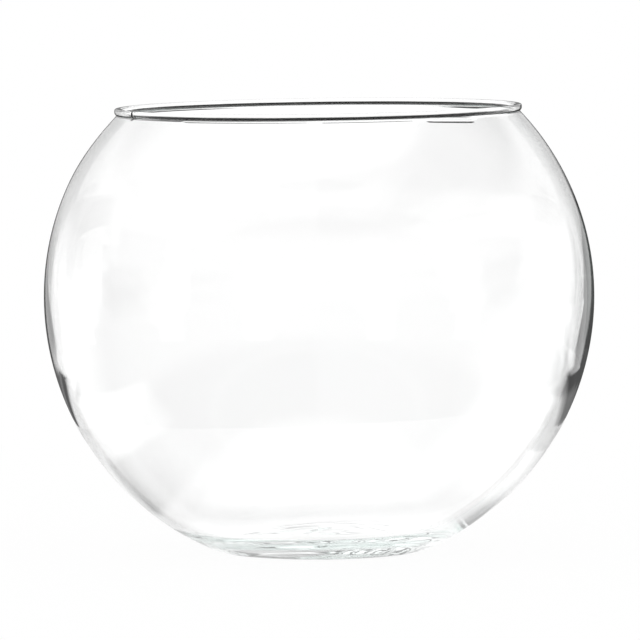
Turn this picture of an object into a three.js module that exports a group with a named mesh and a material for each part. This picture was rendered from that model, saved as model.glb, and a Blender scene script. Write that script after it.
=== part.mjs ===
// A clear glass fishbowl vase: a round belly cut off by a flat base below and a wide mouth above.
// The real one is a single piece of glass, blown in a mould, cracked off at the top and fire polished
// there, so it has no joint, no fastener and no second part: one closed wall of varying thickness.
// Units are millimetres, +Z is up, and the origin is the centre of the base on the table.

import * as THREE from "three";

// Outside of the bowl
const BODY_DIAMETER = 250; // at the belly, the widest place
const SHOULDER_RISE = 122.9; // from the belly to where the shoulder would close over the axis
const BASE_DIAMETER = 94; // where the round belly would run into the table
const HEEL_RADIUS = 16; // rounds the belly into the base

// Underside of the base
const FOOT_RING_WIDTH = 5; // the flat ring that stands on the table
const PUSH_UP = 2.5; // hollow of the base inside that ring, at the centre

// Mouth
const MOUTH_DIAMETER = 184.8; // over the outside of the rim
const BEAD_PROUD = 0.9; // how far the melted bead of the rim stands out of the wall, on each side
const NECK_RISE = 0.2; // upright wall between the shoulder and the bead
const NECK_BEND = 2.2; // length of shoulder that bends upright into that wall

// Thickness of the glass, thin in the shoulder and thick below the belly
const NECK_WALL = 1.4;
const LOWER_WALL = 4.4;
const GROWTH_TOP = 45; // the wall grows from this far above the belly
const GROWTH_BOTTOM = 32; // to this far below it
const FLOOR_THICKNESS = 6; // at the centre, over the push-up
const FLOOR_CROWN = 1.3; // how much the inside floor rises to its centre
const FLOOR_BEND = 14; // length over which the wall turns into the floor

// How finely the round shapes are cut into faces
const TURNS = 64; // round the axis
const BELLY_STEPS = 11;
const SHOULDER_STEPS = 6;
const INNER_STEPS = 17;
const BEND_STEPS = 3;
const BEAD_STEPS = 8;

const bodyRadius = BODY_DIAMETER / 2;
const baseRadius = BASE_DIAMETER / 2;
const bellyHeight = Math.sqrt(bodyRadius ** 2 - baseRadius ** 2);

const at = (radius, height) => new THREE.Vector2(radius, height);

// An arc round the belly's centre from its level radius and its upright radius. Angles run up from
// the level of the belly, where the angle is 0.
function bellyArc(level, upright, from, to) {
  return new THREE.EllipseCurve(0, bellyHeight, level, upright, from, to, from > to);
}

// Outside, the shoulder comes in to the neck, whose wall carries the bead on its middle.
const neckOuter = MOUTH_DIAMETER / 2 - BEAD_PROUD;
const neckInner = neckOuter - NECK_WALL;
const neckAngle = Math.acos(neckOuter / bodyRadius);
const neckFoot = bellyHeight + SHOULDER_RISE * Math.sin(neckAngle);
const neckTop = neckFoot + NECK_RISE;
const shoulder = bellyArc(bodyRadius, SHOULDER_RISE, 0, neckAngle - NECK_BEND / bodyRadius);

// The bead is a round bar melted onto the top of that wall.
const beadRadius = NECK_WALL / 2 + BEAD_PROUD;
const beadEdge = Math.acos(NECK_WALL / 2 / beadRadius);
const beadHeight = neckTop + beadRadius * Math.sin(beadEdge);
const beadCentre = neckOuter - NECK_WALL / 2;
const bead = new THREE.EllipseCurve(beadCentre, beadHeight, beadRadius, beadRadius, -beadEdge, Math.PI + beadEdge);

// Inside, the wall follows the outside at the thickness that it has at that height.
function innerWall(angle) {
  const upright = angle > 0 ? SHOULDER_RISE : bodyRadius;
  const rise = upright * Math.sin(angle);
  const growth = THREE.MathUtils.smoothstep(-rise, -GROWTH_TOP, GROWTH_BOTTOM);
  const wall = THREE.MathUtils.lerp(NECK_WALL, LOWER_WALL, growth);
  return at((bodyRadius - wall) * Math.cos(angle), bellyHeight + (upright - wall) * Math.sin(angle));
}

// It ends above at the neck's inner corner.
const innerNeckAngle = Math.acos(neckInner / (bodyRadius - NECK_WALL));
const innerNeckFoot = innerWall(innerNeckAngle).y;
const innerTop = innerNeckAngle - NECK_BEND / bodyRadius;

// The heel is a small arc that touches both the table and the belly from inside.
const heelCentre = Math.sqrt((bodyRadius - HEEL_RADIUS) ** 2 - (bellyHeight - HEEL_RADIUS) ** 2);
const heelAngle = Math.atan2(HEEL_RADIUS - bellyHeight, heelCentre);
const heel = new THREE.EllipseCurve(heelCentre, HEEL_RADIUS, HEEL_RADIUS, HEEL_RADIUS, -Math.PI / 2, heelAngle);
const footInner = heelCentre - FOOT_RING_WIDTH;

// Below, it runs down to the floor and is cut by it.
const floorTop = PUSH_UP + FLOOR_THICKNESS;
const floorEdge = floorTop - FLOOR_CROWN;
const cornerAngle = -Math.asin((bellyHeight - floorEdge) / (bodyRadius - LOWER_WALL));
const cornerRadius = innerWall(cornerAngle).x;
const floorRadius = cornerRadius - FLOOR_BEND;
const innerBottom = cornerAngle + FLOOR_BEND / bodyRadius;

const insidePoints = [];
for (let step = 0; step <= INNER_STEPS; step++) {
  insidePoints.push(innerWall(THREE.MathUtils.lerp(innerTop, innerBottom, step / INNER_STEPS)));
}

// A bend that runs from one point to another, both ends aimed at a corner between them.
const bend = (from, corner, to) => new THREE.QuadraticBezierCurve(from, corner, to);

// Each stretch of the outline, with the number of straight steps that it is cut into. It starts under
// the base on the axis, runs up the outside, over the rim, down the inside and back to the axis.
const outline = [
  [bend(at(0, PUSH_UP), at(footInner / 2, PUSH_UP), at(footInner, 0)), BEND_STEPS],
  [new THREE.LineCurve(at(footInner, 0), at(heelCentre, 0)), 1],
  [heel, BEND_STEPS],
  [bellyArc(bodyRadius, bodyRadius, heelAngle, 0), BELLY_STEPS],
  [shoulder, SHOULDER_STEPS],
  [bend(shoulder.getPoint(1), at(neckOuter, neckFoot), at(neckOuter, neckTop)), BEND_STEPS],
  [bead, BEAD_STEPS],
  [bend(at(neckInner, neckTop), at(neckInner, innerNeckFoot), insidePoints[0]), BEND_STEPS],
  [new THREE.SplineCurve(insidePoints), INNER_STEPS],
  [bend(insidePoints[INNER_STEPS], at(cornerRadius, floorEdge), at(floorRadius, floorEdge)), BEND_STEPS],
  [bend(at(floorRadius, floorEdge), at(floorRadius / 2, floorTop), at(0, floorTop)), BEND_STEPS],
];

// Joins the stretches, leaving out each point that repeats the one before it.
function pointsAlong(stretches) {
  const points = [];
  for (const [curve, steps] of stretches) {
    for (const point of curve.getPoints(steps)) {
      const last = points[points.length - 1];
      if (!last || last.distanceTo(point) > 1e-6) points.push(point);
    }
  }
  return points;
}

const clearGlass = new THREE.MeshStandardMaterial({
  color: 0xf1f6f5,
  roughness: 0.02,
  metalness: 0,
  transparent: true,
  opacity: 0.3,
});

const bowl = new THREE.Mesh(new THREE.LatheGeometry(pointsAlong(outline), TURNS), clearGlass);
bowl.name = "glass_bowl";
bowl.rotation.x = Math.PI / 2; // the lathe turns about Y, and the bowl stands on Z

const fishbowlVase = new THREE.Group();
fishbowlVase.add(bowl);

export default fishbowlVase;
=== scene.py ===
import math

import bpy
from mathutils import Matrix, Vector


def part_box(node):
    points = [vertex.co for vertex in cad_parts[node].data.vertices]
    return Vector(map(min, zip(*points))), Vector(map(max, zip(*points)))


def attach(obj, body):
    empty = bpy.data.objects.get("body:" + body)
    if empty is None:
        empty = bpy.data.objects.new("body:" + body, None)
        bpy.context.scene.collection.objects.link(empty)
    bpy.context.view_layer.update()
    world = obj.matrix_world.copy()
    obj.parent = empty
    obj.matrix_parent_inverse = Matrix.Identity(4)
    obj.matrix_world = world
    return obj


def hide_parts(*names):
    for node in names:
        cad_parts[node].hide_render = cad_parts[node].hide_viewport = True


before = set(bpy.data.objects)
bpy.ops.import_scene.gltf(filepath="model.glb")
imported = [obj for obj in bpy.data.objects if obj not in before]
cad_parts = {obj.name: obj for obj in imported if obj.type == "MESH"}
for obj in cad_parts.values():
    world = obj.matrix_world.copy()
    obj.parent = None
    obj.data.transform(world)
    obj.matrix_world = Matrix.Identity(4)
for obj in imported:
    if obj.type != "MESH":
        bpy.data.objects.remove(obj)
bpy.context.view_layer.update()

# The camera looks at the bowl through a long lens, from a little above the level of the rim.
# Units are metres, +Z is up, and the bowl stands on the floor round the Z axis.
CAMERA_DISTANCE = 3.1
CAMERA_RISE = math.radians(4.05)
CAMERA_ROLL = math.radians(0.32)  # the left side hangs a little lower in the picture
CAMERA_LENS = 383.6  # mm, on a sensor that is 36 mm wide
AIM = Vector((0.00035, 0.0, 0.1047))

camera = bpy.data.objects.new("camera", bpy.data.cameras.new("camera"))
camera.data.lens = CAMERA_LENS
camera.data.sensor_width = 36
camera.data.clip_end = 50
to_camera = Vector((0, -math.cos(CAMERA_RISE), math.sin(CAMERA_RISE)))
camera.location = AIM + to_camera * CAMERA_DISTANCE
camera.rotation_euler = (math.pi / 2 - CAMERA_RISE, 0, 0)
camera.rotation_euler.rotate_axis("Z", -CAMERA_ROLL)
bpy.context.collection.objects.link(camera)
bpy.context.scene.camera = camera


# The glass bowl is one piece of clear soda-lime glass, blown in a mould and cracked off at the top,
# where the flame melted its edge into a round bead. It stands on the narrow ring round its push-up.
# The wall is thin in the shoulder, thick below the belly, and thicker on one side, as blown walls are.
MM = 0.001
SHOULDER_RISE = 122.9 * MM  # from the belly to where the shoulder would close over the axis
BASE_DIAMETER = 94 * MM  # where the round belly would run into the table
HEEL_RADIUS = 16 * MM
FOOT_RING_WIDTH = 5 * MM
PUSH_UP = 2.5 * MM
MOUTH_DIAMETER = 184.8 * MM
BEAD_PROUD = 0.9 * MM  # how far the bead stands out of the neck's wall, on each side
NECK_RISE = 0.2 * MM
NECK_BEND = 2.2 * MM  # length of shoulder that bends upright into the neck
NECK_WALL = 1.4 * MM
LOWER_WALL = 4.4 * MM
GROWTH_TOP = 45 * MM  # the wall grows from this far above the belly
GROWTH_BOTTOM = -32 * MM  # to this far below it
FLOOR_THICKNESS = 6 * MM
FLOOR_CROWN = 1.3 * MM
FLOOR_BEND = 14 * MM  # length over which the wall turns into the floor

# How unevenly it was blown
WALL_LEAN = 0.27  # the wall is thicker by this share towards +X, and thinner towards -X
WAVINESS = 0.02  # and swells and thins by up to half this share at random
WAVES_PER_METRE = 30.0
RIM_LEAN = 0.0079  # how far the rim drops for each length towards -X
LEAN_FOOT = 52 * MM  # the height above the belly down to which that dies away

# How many straight steps draw each round stretch
PUSH_UP_STEPS = 14
HEEL_STEPS = 8
BELLY_STEPS = 44
SHOULDER_STEPS = 28
NECK_STEPS = 6
BEAD_STEPS = 36
INNER_STEPS = 66
FLOOR_STEPS = 12
TURNS = 256  # round the axis

low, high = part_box("glass_bowl")
body_radius = (high.x - low.x) / 2
base_radius = BASE_DIAMETER / 2
belly_height = math.sqrt(body_radius**2 - base_radius**2)


def arc(centre, level, upright, start, end, steps):
    """Points on an ellipse's arc in the (radius, height) plane."""
    angles = [start + (end - start) * step / steps for step in range(steps + 1)]
    return [(centre[0] + level * math.cos(a), centre[1] + upright * math.sin(a)) for a in angles]


def bend(start, corner, end, steps):
    """Points on a bend whose two ends are aimed at a corner between them."""
    points = []
    for step in range(steps + 1):
        t = step / steps
        weights = ((1 - t) ** 2, 2 * t * (1 - t), t**2)
        points.append(tuple(sum(w * p[k] for w, p in zip(weights, (start, corner, end))) for k in (0, 1)))
    return points


def wall_at(rise):
    """Thickness of the wall at a height above the belly."""
    share = min(max((GROWTH_TOP - rise) / (GROWTH_TOP - GROWTH_BOTTOM), 0), 1)
    return NECK_WALL + (LOWER_WALL - NECK_WALL) * share * share * (3 - 2 * share)


def inner_wall(angle):
    """The inside of the wall at an angle up or down from the level of the belly."""
    upright = SHOULDER_RISE if angle > 0 else body_radius
    wall = wall_at(upright * math.sin(angle))
    return ((body_radius - wall) * math.cos(angle), belly_height + (upright - wall) * math.sin(angle))


centre = (0, belly_height)
neck_outer = MOUTH_DIAMETER / 2 - BEAD_PROUD
neck_inner = neck_outer - NECK_WALL
neck_angle = math.acos(neck_outer / body_radius)
neck_foot = belly_height + SHOULDER_RISE * math.sin(neck_angle)
neck_top = neck_foot + NECK_RISE
bead_radius = NECK_WALL / 2 + BEAD_PROUD
bead_edge = math.acos(NECK_WALL / 2 / bead_radius)
bead_centre = (neck_outer - NECK_WALL / 2, neck_top + bead_radius * math.sin(bead_edge))
inner_neck_angle = math.acos(neck_inner / (body_radius - NECK_WALL))
inner_neck_foot = inner_wall(inner_neck_angle)[1]
heel_centre = math.sqrt((body_radius - HEEL_RADIUS) ** 2 - (belly_height - HEEL_RADIUS) ** 2)
heel_angle = math.atan2(HEEL_RADIUS - belly_height, heel_centre)
foot_inner = heel_centre - FOOT_RING_WIDTH
floor_top = PUSH_UP + FLOOR_THICKNESS
floor_edge = floor_top - FLOOR_CROWN
corner_angle = -math.asin((belly_height - floor_edge) / (body_radius - LOWER_WALL))
corner_radius = inner_wall(corner_angle)[0]
floor_radius = corner_radius - FLOOR_BEND

# The flame left the top of the bead flatter than its sides.
bead = []
for radius, height in arc((0, 0), 1, 1, -bead_edge, math.pi + bead_edge, BEAD_STEPS):
    if height > 0:
        radius, height = math.copysign(abs(radius) ** 0.5, radius), height**0.5
    bead.append((bead_centre[0] + bead_radius * radius, bead_centre[1] + bead_radius * height))

shoulder_end = neck_angle - NECK_BEND / body_radius
shoulder = arc(centre, body_radius, SHOULDER_RISE, 0, shoulder_end, SHOULDER_STEPS)
inner_top = inner_neck_angle - NECK_BEND / body_radius
inner_bottom = corner_angle + FLOOR_BEND / body_radius
inner_slope = (inner_bottom - inner_top) / INNER_STEPS
inside = [inner_wall(inner_top + inner_slope * step) for step in range(INNER_STEPS + 1)]

# The outline runs from the axis under the base up the outside, over the rim and down the inside.
outside_stretches = [
    bend((0, PUSH_UP), (foot_inner / 2, PUSH_UP), (foot_inner, 0), PUSH_UP_STEPS),
    [(foot_inner, 0), (heel_centre, 0)],
    arc((heel_centre, HEEL_RADIUS), HEEL_RADIUS, HEEL_RADIUS, -math.pi / 2, heel_angle, HEEL_STEPS),
    arc(centre, body_radius, body_radius, heel_angle, 0, BELLY_STEPS),
    shoulder,
    bend(shoulder[-1], (neck_outer, neck_foot), (neck_outer, neck_top), NECK_STEPS),
    bead,
]
inside_stretches = [
    bend((neck_inner, neck_top), (neck_inner, inner_neck_foot), inside[0], NECK_STEPS),
    inside,
    bend(inside[-1], (corner_radius, floor_edge), (floor_radius, floor_edge), FLOOR_STEPS),
    bend((floor_radius, floor_edge), (floor_radius / 2, floor_top), (0, floor_top), FLOOR_STEPS),
]

outline = []
lean = []  # how thick the wall is behind each inside point, which the leaning of the wall scales
for stretches, is_inside in ((outside_stretches, False), (inside_stretches, True)):
    for stretch in stretches:
        for radius, height in stretch:
            if outline and math.dist((radius, height), (outline[-1][0], outline[-1][2])) < 1e-7:
                continue
            outline.append((radius, 0, height))
            lean.append(wall_at(height - belly_height) if is_inside and height < inner_neck_foot else 0)


def add(tree, kind, inputs=None, **settings):
    """Adds a node to a tree, with its settings, and links or sets its inputs by their name or place.
    A node that is given as an input stands for its first output."""
    node = tree.nodes.new(kind)
    for name, value in settings.items():
        setattr(node, name, value)
    for name, value in (inputs or {}).items():
        if isinstance(value, bpy.types.Node):
            value = value.outputs[0]
        if isinstance(value, bpy.types.NodeSocket):
            tree.links.new(value, node.inputs[name])
        else:
            node.inputs[name].default_value = value
    return node


def laid_over(tree, level, *layers):
    """Lays levels over one another and returns what they come to. A layer is its level and then its
    limits. Each limit is a value, where the layer starts in it and where the layer is full."""
    for layer_level, *limits in layers:
        share = 1.0
        for value, start, full in limits:
            inputs = {0: value, 1: start, 2: full, 3: 0.0, 4: share}
            share = add(tree, "ShaderNodeMapRange", inputs, interpolation_type="SMOOTHSTEP")
        inputs = {"Factor": share, "A": level, "B": layer_level}
        level = add(tree, "ShaderNodeMix", inputs, data_type="FLOAT")
    return level


def linear(colour, alpha=1.0):
    """An sRGB hex colour as the linear values that shaders take."""
    parts = [int(colour[k : k + 2], 16) / 255 for k in (1, 3, 5)]
    return (*[c / 12.92 if c <= 0.04045 else ((c + 0.055) / 1.055) ** 2.4 for c in parts], alpha)


# The mould's cold wall left a slow, very shallow ripple on the glass.
CHILL_SIZE = 22 * MM
CHILL_DEPTH = 0.1 * MM

# A faint crease runs under the rim at the front, with a deeper, shorter one below it on the right.
# Each has the height and the X of its middle, how far it falls for each length towards +X, its half
# length, its half width and its depth.
CREASES = (
    (198.2 * MM, -31 * MM, -RIM_LEAN, 31 * MM, 0.45 * MM, 0.08 * MM),
    (198.75 * MM, 22 * MM, -RIM_LEAN, 23 * MM, 0.7 * MM, 0.25 * MM),
    (198.25 * MM, 58.5 * MM, 0.047, 12 * MM, 1.25 * MM, 0.5 * MM),
)
CREASE_END = 5 * MM  # length over which a crease dies away
CREASE_BACK = -30 * MM  # the creases are in front of this Y
CREASE_FRONT = -40 * MM  # and full in front of this one

# The ends of the bead meet in a nick.
NICK_SPOT = (-83.3 * MM, -38.5 * MM, 199.4 * MM)
NICK_SIZE = 2.3 * MM


def clear_soda_lime_glass():
    """Clear soda-lime glass with a blown, fire-finished surface: it shines as a liquid does, and only
    a long, thick way through it shows its green."""
    made = bpy.data.materials.new("blown_soda_lime_glass")
    made.use_nodes = True
    tree = made.node_tree
    tree.nodes.clear()
    place = add(tree, "ShaderNodeTexCoord").outputs["Object"]
    inputs = {"Vector": place, "Scale": 1 / CHILL_SIZE, "Detail": 1.0, "Roughness": 0.4}
    chill = add(tree, "ShaderNodeTexNoise", inputs)
    inputs = {"Height": chill, "Strength": 0.05, "Distance": CHILL_DEPTH}
    marks = add(tree, "ShaderNodeBump", inputs)

    part = add(tree, "ShaderNodeSeparateXYZ", {0: place}).outputs
    for height, middle, fall, reach, width, depth in CREASES:
        from_middle = add(tree, "ShaderNodeMath", {0: part["X"], 1: middle}, operation="SUBTRACT")
        along = add(tree, "ShaderNodeMath", {0: from_middle}, operation="ABSOLUTE")
        inputs = {0: from_middle, 1: fall, 2: part["Z"]}
        level = add(tree, "ShaderNodeMath", inputs, operation="MULTIPLY_ADD")
        up = add(tree, "ShaderNodeMath", {0: level, 1: height}, operation="SUBTRACT")
        off = add(tree, "ShaderNodeMath", {0: up}, operation="ABSOLUTE")
        across_limit = (off, width, 0.0)
        along_limit = (along, reach, reach - CREASE_END)
        front_limit = (part["Y"], CREASE_BACK, CREASE_FRONT)
        crease = laid_over(tree, 0.0, (1.0, across_limit, along_limit, front_limit))
        inputs = {"Height": crease, "Strength": 1.0, "Distance": depth, "Normal": marks}
        marks = add(tree, "ShaderNodeBump", inputs)

    away = add(tree, "ShaderNodeVectorMath", {0: place, 1: NICK_SPOT}, operation="DISTANCE")
    nick = laid_over(tree, 0.0, (1.0, (away.outputs["Value"], NICK_SIZE, 0.0)))
    inputs = {"Height": nick, "Strength": 1.0, "Distance": NICK_SIZE, "Normal": marks}
    marks = add(tree, "ShaderNodeBump", inputs)

    inputs = {
        "Base Color": linear("#ffffff"),
        "Roughness": 0.0,
        "IOR": 1.5,
        "Transmission Weight": 1.0,
        "Normal": marks,
    }
    surface = add(tree, "ShaderNodeBsdfPrincipled", inputs)
    tint = add(tree, "ShaderNodeVolumeAbsorption", {"Color": linear("#cfe9e2"), "Density": 1.5})
    add(tree, "ShaderNodeOutputMaterial", {"Surface": surface, "Volume": tint})
    return made


def turned_wall():
    """A node tree that turns the outline round the axis and leans the inside of its wall."""
    tree = bpy.data.node_groups.new("turned_wall", "GeometryNodeTree")
    inputs = {
        "Outline": "Geometry",
        "Turns": "Int",
        "Lean": "Float",
        "Waviness": "Float",
        "Drop": "Float",
        "Mouth Radius": "Float",
        "Neck Foot": "Float",
        "Lean Foot": "Float",
        "Belly": "Vector",
        "Glass": "Material",
    }
    for name, kind in inputs.items():
        tree.interface.new_socket(name, in_out="INPUT", socket_type="NodeSocket" + kind)
    tree.interface.new_socket("Wall", in_out="OUTPUT", socket_type="NodeSocketGeometry")
    given = add(tree, "NodeGroupInput").outputs

    # A grid has one column of points for each step round the axis, and the last column closes it.
    rows = add(tree, "GeometryNodeAttributeDomainSize", {0: given["Outline"]}, component="MESH")
    columns = add(tree, "ShaderNodeMath", {0: given["Turns"], 1: 1.0}, operation="ADD")
    grid = add(tree, "GeometryNodeMeshGrid", {"Vertices X": columns, "Vertices Y": rows})
    index = add(tree, "GeometryNodeInputIndex")
    row = add(tree, "ShaderNodeMath", {0: index, 1: rows}, operation="MODULO")
    column = add(tree, "ShaderNodeMath", {0: index, 1: rows}, operation="DIVIDE")
    whole = add(tree, "ShaderNodeMath", {0: column}, operation="FLOOR")
    share = add(tree, "ShaderNodeMath", {0: whole, 1: given["Turns"]}, operation="DIVIDE")
    turn = add(tree, "ShaderNodeMath", {0: share, 1: 2 * math.pi}, operation="MULTIPLY")

    position = add(tree, "GeometryNodeInputPosition")
    inputs = {"Geometry": given["Outline"], "Value": position, "Index": row}
    outline_point = add(tree, "GeometryNodeSampleIndex", inputs, data_type="FLOAT_VECTOR")
    inputs = {"Vector": outline_point, "Angle": turn}
    turned = add(tree, "ShaderNodeVectorRotate", inputs, rotation_type="Z_AXIS")
    wall = add(tree, "GeometryNodeInputNamedAttribute", {"Name": "wall"}, data_type="FLOAT")
    inputs = {"Geometry": given["Outline"], "Value": wall, "Index": row}
    outline_wall = add(tree, "GeometryNodeSampleIndex", inputs, data_type="FLOAT")

    # The rim lies a little lower towards -X, and that dies away down the shoulder.
    spot = add(tree, "ShaderNodeSeparateXYZ", {0: turned}).outputs
    inputs = {0: spot["X"], 1: given["Mouth Radius"]}
    from_high = add(tree, "ShaderNodeMath", inputs, operation="SUBTRACT")
    drop = add(tree, "ShaderNodeMath", {0: from_high, 1: given["Drop"]}, operation="MULTIPLY")
    inputs = {0: spot["Z"], 1: given["Lean Foot"], 2: given["Neck Foot"], 3: 0.0, 4: drop}
    dropped = add(tree, "ShaderNodeMapRange", inputs, interpolation_type="SMOOTHSTEP")
    down = add(tree, "ShaderNodeCombineXYZ", {"Z": dropped})
    leaned = add(tree, "ShaderNodeVectorMath", {0: turned, 1: down}, operation="ADD")

    # The wall grows towards +X and shrinks towards -X by the lean, and a slow noise makes it wavy.
    side = add(tree, "ShaderNodeMath", {0: turn}, operation="COSINE")
    leaning = add(tree, "ShaderNodeMath", {0: side, 1: given["Lean"]}, operation="MULTIPLY")
    inputs = {"Vector": turned, "Scale": WAVES_PER_METRE, "Detail": 0.0}
    waves = add(tree, "ShaderNodeTexNoise", inputs)
    centred = add(tree, "ShaderNodeMath", {0: waves, 1: 0.5}, operation="SUBTRACT")
    wavy = add(tree, "ShaderNodeMath", {0: centred, 1: given["Waviness"]}, operation="MULTIPLY")
    change = add(tree, "ShaderNodeMath", {0: leaning, 1: wavy}, operation="ADD")
    thicker = add(tree, "ShaderNodeMath", {0: change, 1: outline_wall}, operation="MULTIPLY")
    inwards = add(tree, "ShaderNodeVectorMath", {0: given["Belly"], 1: turned}, operation="SUBTRACT")
    unit = add(tree, "ShaderNodeVectorMath", {0: inwards}, operation="NORMALIZE")
    offset = add(tree, "ShaderNodeVectorMath", {0: unit, "Scale": thicker}, operation="SCALE")

    inputs = {"Geometry": grid, "Position": leaned, "Offset": offset}
    placed = add(tree, "GeometryNodeSetPosition", inputs)
    inputs = {"Geometry": placed, "Distance": 0.001 * MM}
    closed = add(tree, "GeometryNodeMergeByDistance", inputs)
    smooth = add(tree, "GeometryNodeSetShadeSmooth", {0: closed})
    real = add(tree, "GeometryNodeRealizeInstances", {0: smooth})
    dressed = add(tree, "GeometryNodeSetMaterial", {"Geometry": real, "Material": given["Glass"]})
    add(tree, "NodeGroupOutput", {"Wall": dressed})
    return tree


def through_nodes(name, mesh, tree, values):
    """Runs a mesh through a node tree and returns the result as a plain object at the origin."""
    source = bpy.data.objects.new(name + "_source", mesh)
    bpy.context.collection.objects.link(source)
    modifier = source.modifiers.new("nodes", "NODES")
    modifier.node_group = tree
    for socket in tree.interface.items_tree:
        if socket.in_out == "INPUT" and socket.name in values:
            modifier[socket.identifier] = values[socket.name]
    bpy.context.view_layer.update()
    evaluated = source.evaluated_get(bpy.context.evaluated_depsgraph_get())
    result = bpy.data.objects.new(name, bpy.data.meshes.new_from_object(evaluated))
    bpy.data.objects.remove(source)
    bpy.context.collection.objects.link(result)
    return result


outline_mesh = bpy.data.meshes.new("bowl_outline")
outline_mesh.from_pydata(outline, [(k, k + 1) for k in range(len(outline) - 1)], [])
wall_attribute = outline_mesh.attributes.new("wall", "FLOAT", "POINT")
wall_attribute.data.foreach_set("value", lean)

wall_values = {
    "Turns": TURNS,
    "Lean": WALL_LEAN,
    "Waviness": WAVINESS,
    "Drop": RIM_LEAN,
    "Mouth Radius": MOUTH_DIAMETER / 2,
    "Neck Foot": neck_foot,
    "Lean Foot": belly_height + LEAN_FOOT,
    "Belly": (0.0, 0.0, belly_height),
    "Glass": clear_soda_lime_glass(),
}
bowl = through_nodes("blown_glass_bowl", outline_mesh, turned_wall(), wall_values)
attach(bowl, "root")
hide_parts("glass_bowl")


# The floor is a round table with a top of matt white laminate, pressed against a fine matt sheet, so
# it mirrors nothing. It is white in the picture and through the glass, and keeps a little of the
# bowl's shadow. For rays that came by way of the glass it glows with painted light and shade
# instead: a painted lit strip, painted white patches, painted dark sides and front, and a painted
# shadow under the base.
TABLE_RADIUS = 0.55
TABLE_STEPS = 96
TABLE_DROP = 0.05 * MM  # air under the foot ring
SEEN_RADIUS = 0.53  # light that the glass throws back sees nothing of the table farther out
SEEN_EDGE = 0.01
STRIP_HALF = 0.195  # half the width of the painted lit strip that it sees, level with the bowl's axis
STRIP_TAPER = 0.06  # how much narrower the half is for each length towards the back
PICTURE_WHITE = 0.97  # how white the table is in the picture

table_mesh = bpy.data.meshes.new("table_top")
steps = [2 * math.pi * step / TABLE_STEPS for step in range(TABLE_STEPS)]
corners = [(TABLE_RADIUS * math.cos(a), TABLE_RADIUS * math.sin(a), -TABLE_DROP) for a in steps]
table_mesh.from_pydata(corners, [], [tuple(range(TABLE_STEPS))])
table = bpy.data.objects.new("table_top", table_mesh)
bpy.context.collection.objects.link(table)

matt_white = bpy.data.materials.new("matt_white_laminate_and_painted_glow")
matt_white.use_nodes = True
tree = matt_white.node_tree
tree.nodes.clear()

# How a ray came: by way of the glass, thrown back by it once or more often, or by no matt face
path = add(tree, "ShaderNodeLightPath").outputs
inputs = {0: path["Is Glossy Ray"], 1: path["Is Transmission Ray"]}
by_glass = (add(tree, "ShaderNodeMath", inputs, operation="MAXIMUM"), 0, 1)
thrown_once = (path["Glossy Depth"], 0, 1)
thrown_again = (path["Glossy Depth"], 1, 2)
unscattered = (path["Diffuse Depth"], 1, 0)

# Where it meets the table, in metres from the axis, to the side, and from the painted lit strip's edge
place = add(tree, "ShaderNodeTexCoord").outputs["Object"]
part = add(tree, "ShaderNodeSeparateXYZ", {0: place}).outputs
back = part["Y"]
from_axis = add(tree, "ShaderNodeVectorMath", {0: place}, operation="LENGTH").outputs["Value"]
aside = add(tree, "ShaderNodeMath", {0: part["X"]}, operation="ABSOLUTE")
untapered = add(tree, "ShaderNodeMath", {0: back, 1: STRIP_TAPER, 2: aside}, operation="MULTIPLY_ADD")
from_edge = add(tree, "ShaderNodeMath", {0: untapered, 1: STRIP_HALF}, operation="SUBTRACT")
right = (part["X"], -0.05, 0.05)

# Light that was only bent by the glass sees an even painted glow on the table, brighter far out to the
# sides.
bent_level = laid_over(
    tree,
    0.95,
    (1.15, (from_axis, 0.03, 0.20)),
    (1.7, (aside, 0.13, 0.17)),
)

# Beside the bowl, light that was thrown back once sees the painted lit strip in painted light and dark
# patches, other ones on the right.
near_left = laid_over(
    tree,
    0.35,
    (0.62, (back, 0.01, 0.045)),
    (0.76, (aside, 0.09, 0.08)),
    (1.0, (back, 0.05, 0.14)),
    (0.95, (aside, 0.135, 0.15)),
)
near_right = laid_over(
    tree,
    0.83,
    (1.0, (aside, 0.085, 0.10)),
    (1.25, (back, 0.035, 0.06)),
)

# Farther out, the painted glow of the table gets dim on both sides of the painted strip.
dim_left = laid_over(
    tree,
    1.0,
    (laid_over(tree, 0.1, (0.22, (back, 0.36, 0.40))), (back, 0.23, 0.31)),
)
dim_right = laid_over(
    tree,
    0.9,
    (laid_over(tree, 0.2, (0.07, (aside, 0.235, 0.255))), (back, 0.165, 0.235)),
)

# Under the base a painted shadow darkens the glow, most where the foot ring stands at the front.
shade = laid_over(tree, 0.95, (0.45, (from_axis, 0.056, 0.050), (back, -0.02, -0.03)))

# Light that was thrown back once sees painted light and shade laid over the table.
once_level = laid_over(
    tree,
    near_left,
    (near_right, right),
    (1.1, (aside, 0.075, 0.055)),  # a painted brighter glow in front of the base and behind it
    (0.97, (back, 0.14, 0.22)),  # farther back
    (laid_over(tree, 0.97, (0.55, (back, 0.28, 0.34))), (aside, 0.148, 0.154)),  # the outer strip
    (0.9, (from_edge, -0.012, -0.008), (back, 0.08, 0.14)),  # a painted dimmer line along its edge
    (laid_over(tree, dim_left, (dim_right, right)), (from_edge, -0.001, 0.001)),
    (1.2, (aside, 0.300, 0.316), (back, 0.20, 0.26)),  # painted white glow at the back corners
    (0.08, (aside, 0.235, 0.265), (back, 0.19, 0.15)),  # painted dark sides
    (0.04, (back, -0.08, -0.12)),  # painted dark front
    (shade, (from_axis, 0.07, 0.05)),
)

# Light that was thrown back more often sees a painted glow, bright round the base, and painted dark
# farther out.
often_level = laid_over(
    tree,
    0.6,
    (1.2, (from_axis, 0.035, 0.05)),
    (0.08, (from_axis, 0.16, 0.22)),
)

# All these levels are painted light and shade: for rays by way of the glass the table glows with them,
# though it is no lamp.
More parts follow.
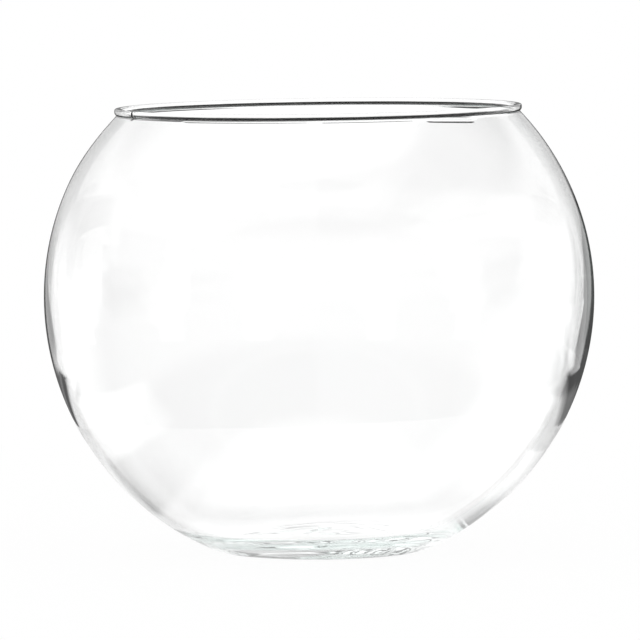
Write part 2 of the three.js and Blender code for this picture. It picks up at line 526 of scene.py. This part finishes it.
glass_level = laid_over(tree, bent_level, (once_level, thrown_once), (often_level, thrown_again))
glow_level = laid_over(tree, 1.0, (glass_level, by_glass))
board = add(tree, "ShaderNodeBsdfDiffuse", {"Color": linear("#fcfcfc")})
glow = add(tree, "ShaderNodeEmission", {"Color": linear("#ffffff"), "Strength": glow_level})
glowing = laid_over(tree, 0.0, (PICTURE_WHITE, unscattered), (1.0, unscattered, by_glass))
board_or_painted_glow = add(tree, "ShaderNodeMixShader", {0: glowing, 1: board, 2: glow})
outside = (from_axis, SEEN_RADIUS - SEEN_EDGE, SEEN_RADIUS + SEEN_EDGE)
gone = laid_over(tree, 0.0, (1.0, outside, thrown_once, unscattered))
clear = add(tree, "ShaderNodeBsdfTransparent", {"Color": linear("#ffffff")})
top = add(tree, "ShaderNodeMixShader", {0: gone, 1: board_or_painted_glow, 2: clear})
add(tree, "ShaderNodeOutputMaterial", {"Surface": top})
table_mesh.materials.append(matt_white)


# The light is a white tent all round. Rays that the glass has bent or thrown back see the studio
# instead: a white backdrop with the dark above it, and round the table dark screens that draw the
# bowl's edges, with grey wings and white boards between them, under a soft ceiling light.
world = bpy.data.worlds.new("white_tent")
bpy.context.scene.world = world
world.use_nodes = True
tree = world.node_tree
tree.nodes.clear()

# How a ray came, as on the table
path = add(tree, "ShaderNodeLightPath").outputs
inputs = {0: path["Is Glossy Ray"], 1: path["Is Transmission Ray"]}
by_glass = (add(tree, "ShaderNodeMath", inputs, operation="MAXIMUM"), 0, 1)
only_bent = (path["Is Transmission Ray"], 0, 1)
thrown_once = (path["Glossy Depth"], 0, 1)
thrown_again = (path["Glossy Depth"], 1, 2)
thrown_very_often = (path["Glossy Depth"], 28, 29)
unscattered = (path["Diffuse Depth"], 1, 0)

# Where it goes, in degrees: up from the horizon, and round from straight behind the bowl towards +X
direction = add(tree, "ShaderNodeTexCoord").outputs["Generated"]
part = add(tree, "ShaderNodeSeparateXYZ", {0: direction}).outputs
rise = add(tree, "ShaderNodeMath", {0: part["Z"]}, operation="ARCSINE")
elevation = add(tree, "ShaderNodeMath", {0: rise}, operation="DEGREES")
turn = add(tree, "ShaderNodeMath", {0: part["X"], 1: part["Y"]}, operation="ARCTAN2")
azimuth = add(tree, "ShaderNodeMath", {0: turn}, operation="DEGREES")
sideways = add(tree, "ShaderNodeMath", {0: azimuth}, operation="ABSOLUTE")
right = (azimuth, -3, 3)

# Each screen: the way that it stands, how far it and its wings reach to each side, and how much
# lighter its middle is
SCREENS = (
    (0, 29, 0.0),
    (90, 20, 0.0),
    (135, 14, 0.0),
    (180, 20, 0.0),
    (-135, 14, 0.0),
    (-90, 20, 0.0),
    (45, 9, 0.55),
    (-45, 9, 0.7),
)
HALVES_LEFT = (10.0, 15.0)  # how far the dark middle reaches to each side, at the horizon and below
HALVES_RIGHT = (15.5, 24.5)
WIDENING = 1.2  # how fast it gets wider below the horizon, for each degree down
FLARE_TOP = -7.5  # on the left it gets wider again from here down
FLARE = 3.2
NADIR = -90
BOARD_LEVEL = 1.2

halves = []
for narrow, wide in (HALVES_LEFT, HALVES_RIGHT):
    lowest = (narrow - wide) / WIDENING
    halves.append(add(tree, "ShaderNodeMapRange", {0: elevation, 1: 0.0, 2: lowest, 3: narrow, 4: wide}))
inputs = {0: elevation, 1: FLARE_TOP, 2: NADIR, 3: 0.0, 4: FLARE * (FLARE_TOP - NADIR)}
flare = add(tree, "ShaderNodeMapRange", inputs)
left_half = add(tree, "ShaderNodeMath", {0: halves[0], 1: flare}, operation="ADD")
half = laid_over(tree, left_half, (halves[1], right))
middle_level = laid_over(tree, 0.13, (0.06, right))
wing_level = laid_over(tree, 0.8, (BOARD_LEVEL, (elevation, -7, -9)))

boards = BOARD_LEVEL
for stand, reach, lighter in SCREENS:
    turned = add(tree, "ShaderNodeMath", {0: azimuth, 1: stand}, operation="SUBTRACT")
    away = add(tree, "ShaderNodeMath", {0: turned, 1: 180.0}, operation="PINGPONG")
    from_edge = add(tree, "ShaderNodeMath", {0: away, 1: half}, operation="SUBTRACT")
    level = add(tree, "ShaderNodeMath", {0: middle_level, 1: lighter}, operation="ADD")
    screen = laid_over(tree, level, (wing_level, (from_edge, -2.5, 2.5)))
    boards = laid_over(tree, boards, (screen, (away, reach + 1, reach - 1)))

# Above the boards come a dim upper wall, darker on the right, and the ceiling light.
upper_wall = laid_over(tree, 0.4, (0.15, right))
above = laid_over(
    tree,
    0.84,
    (upper_wall, (elevation, 22, 32)),
    (1.0, (elevation, 55, 65)),
)
once_level = laid_over(
    tree,
    boards,
    (0.15, (elevation, -13, -16)),  # the dark foot of the tent
    (above, (elevation, 0.5, 6)),
    (1.15, (sideways, 12, 9), (elevation, -1, 1), (elevation, 20, 14), only_bent),  # a gap at the back
)

# Light that was thrown back again sees the bright ceiling start a little over the horizon, and light
# that ran round inside the wall very often sees it start higher, and not in front.
ceiling = laid_over(tree, 0.12, (1.25, (elevation, 27, 35), (sideways, 125, 115)))
again_level = laid_over(tree, 0.12, (1.25, (elevation, 12.5, 20.5)), (ceiling, thrown_very_often))

# Light that was only bent sees white up to just over the horizon. Towards the sides the white is
# brighter and reaches higher, where the glass bends more and lets less of the light through.
aside = add(tree, "ShaderNodeMath", {0: azimuth, 1: 22.5}, operation="PINGPONG")
middle_white = laid_over(tree, 1.12, (1.03, right))
side_white = laid_over(tree, 1.8, (1.48, right))
white = laid_over(tree, 1.1, (middle_white, (elevation, -3.3, -2.3)), (side_white, (aside, 3, 7)))
white_top = laid_over(tree, 0.0, (5.0, (aside, 3, 9)), (-6.0, (aside, 12.5, 14.5)))
over_white = add(tree, "ShaderNodeMath", {0: elevation, 1: white_top}, operation="SUBTRACT")
bent_level = laid_over(tree, white, (0.0, (over_white, 0, 1.5)))

studio = laid_over(tree, bent_level, (once_level, thrown_once), (again_level, thrown_again))
tent_level = laid_over(tree, 1.0, (studio, by_glass, unscattered))
light = add(tree, "ShaderNodeBackground", {"Color": linear("#ffffff"), "Strength": tent_level})
add(tree, "ShaderNodeOutputWorld", {"Surface": light})


# Colours come out as they are written, and light may turn often enough inside the glass.
GLASS_BOUNCES = 80

scene = bpy.context.scene
scene.view_settings.view_transform = "Standard"
scene.cycles.max_bounces = GLASS_BOUNCES
scene.cycles.glossy_bounces = GLASS_BOUNCES
scene.cycles.transmission_bounces = GLASS_BOUNCES
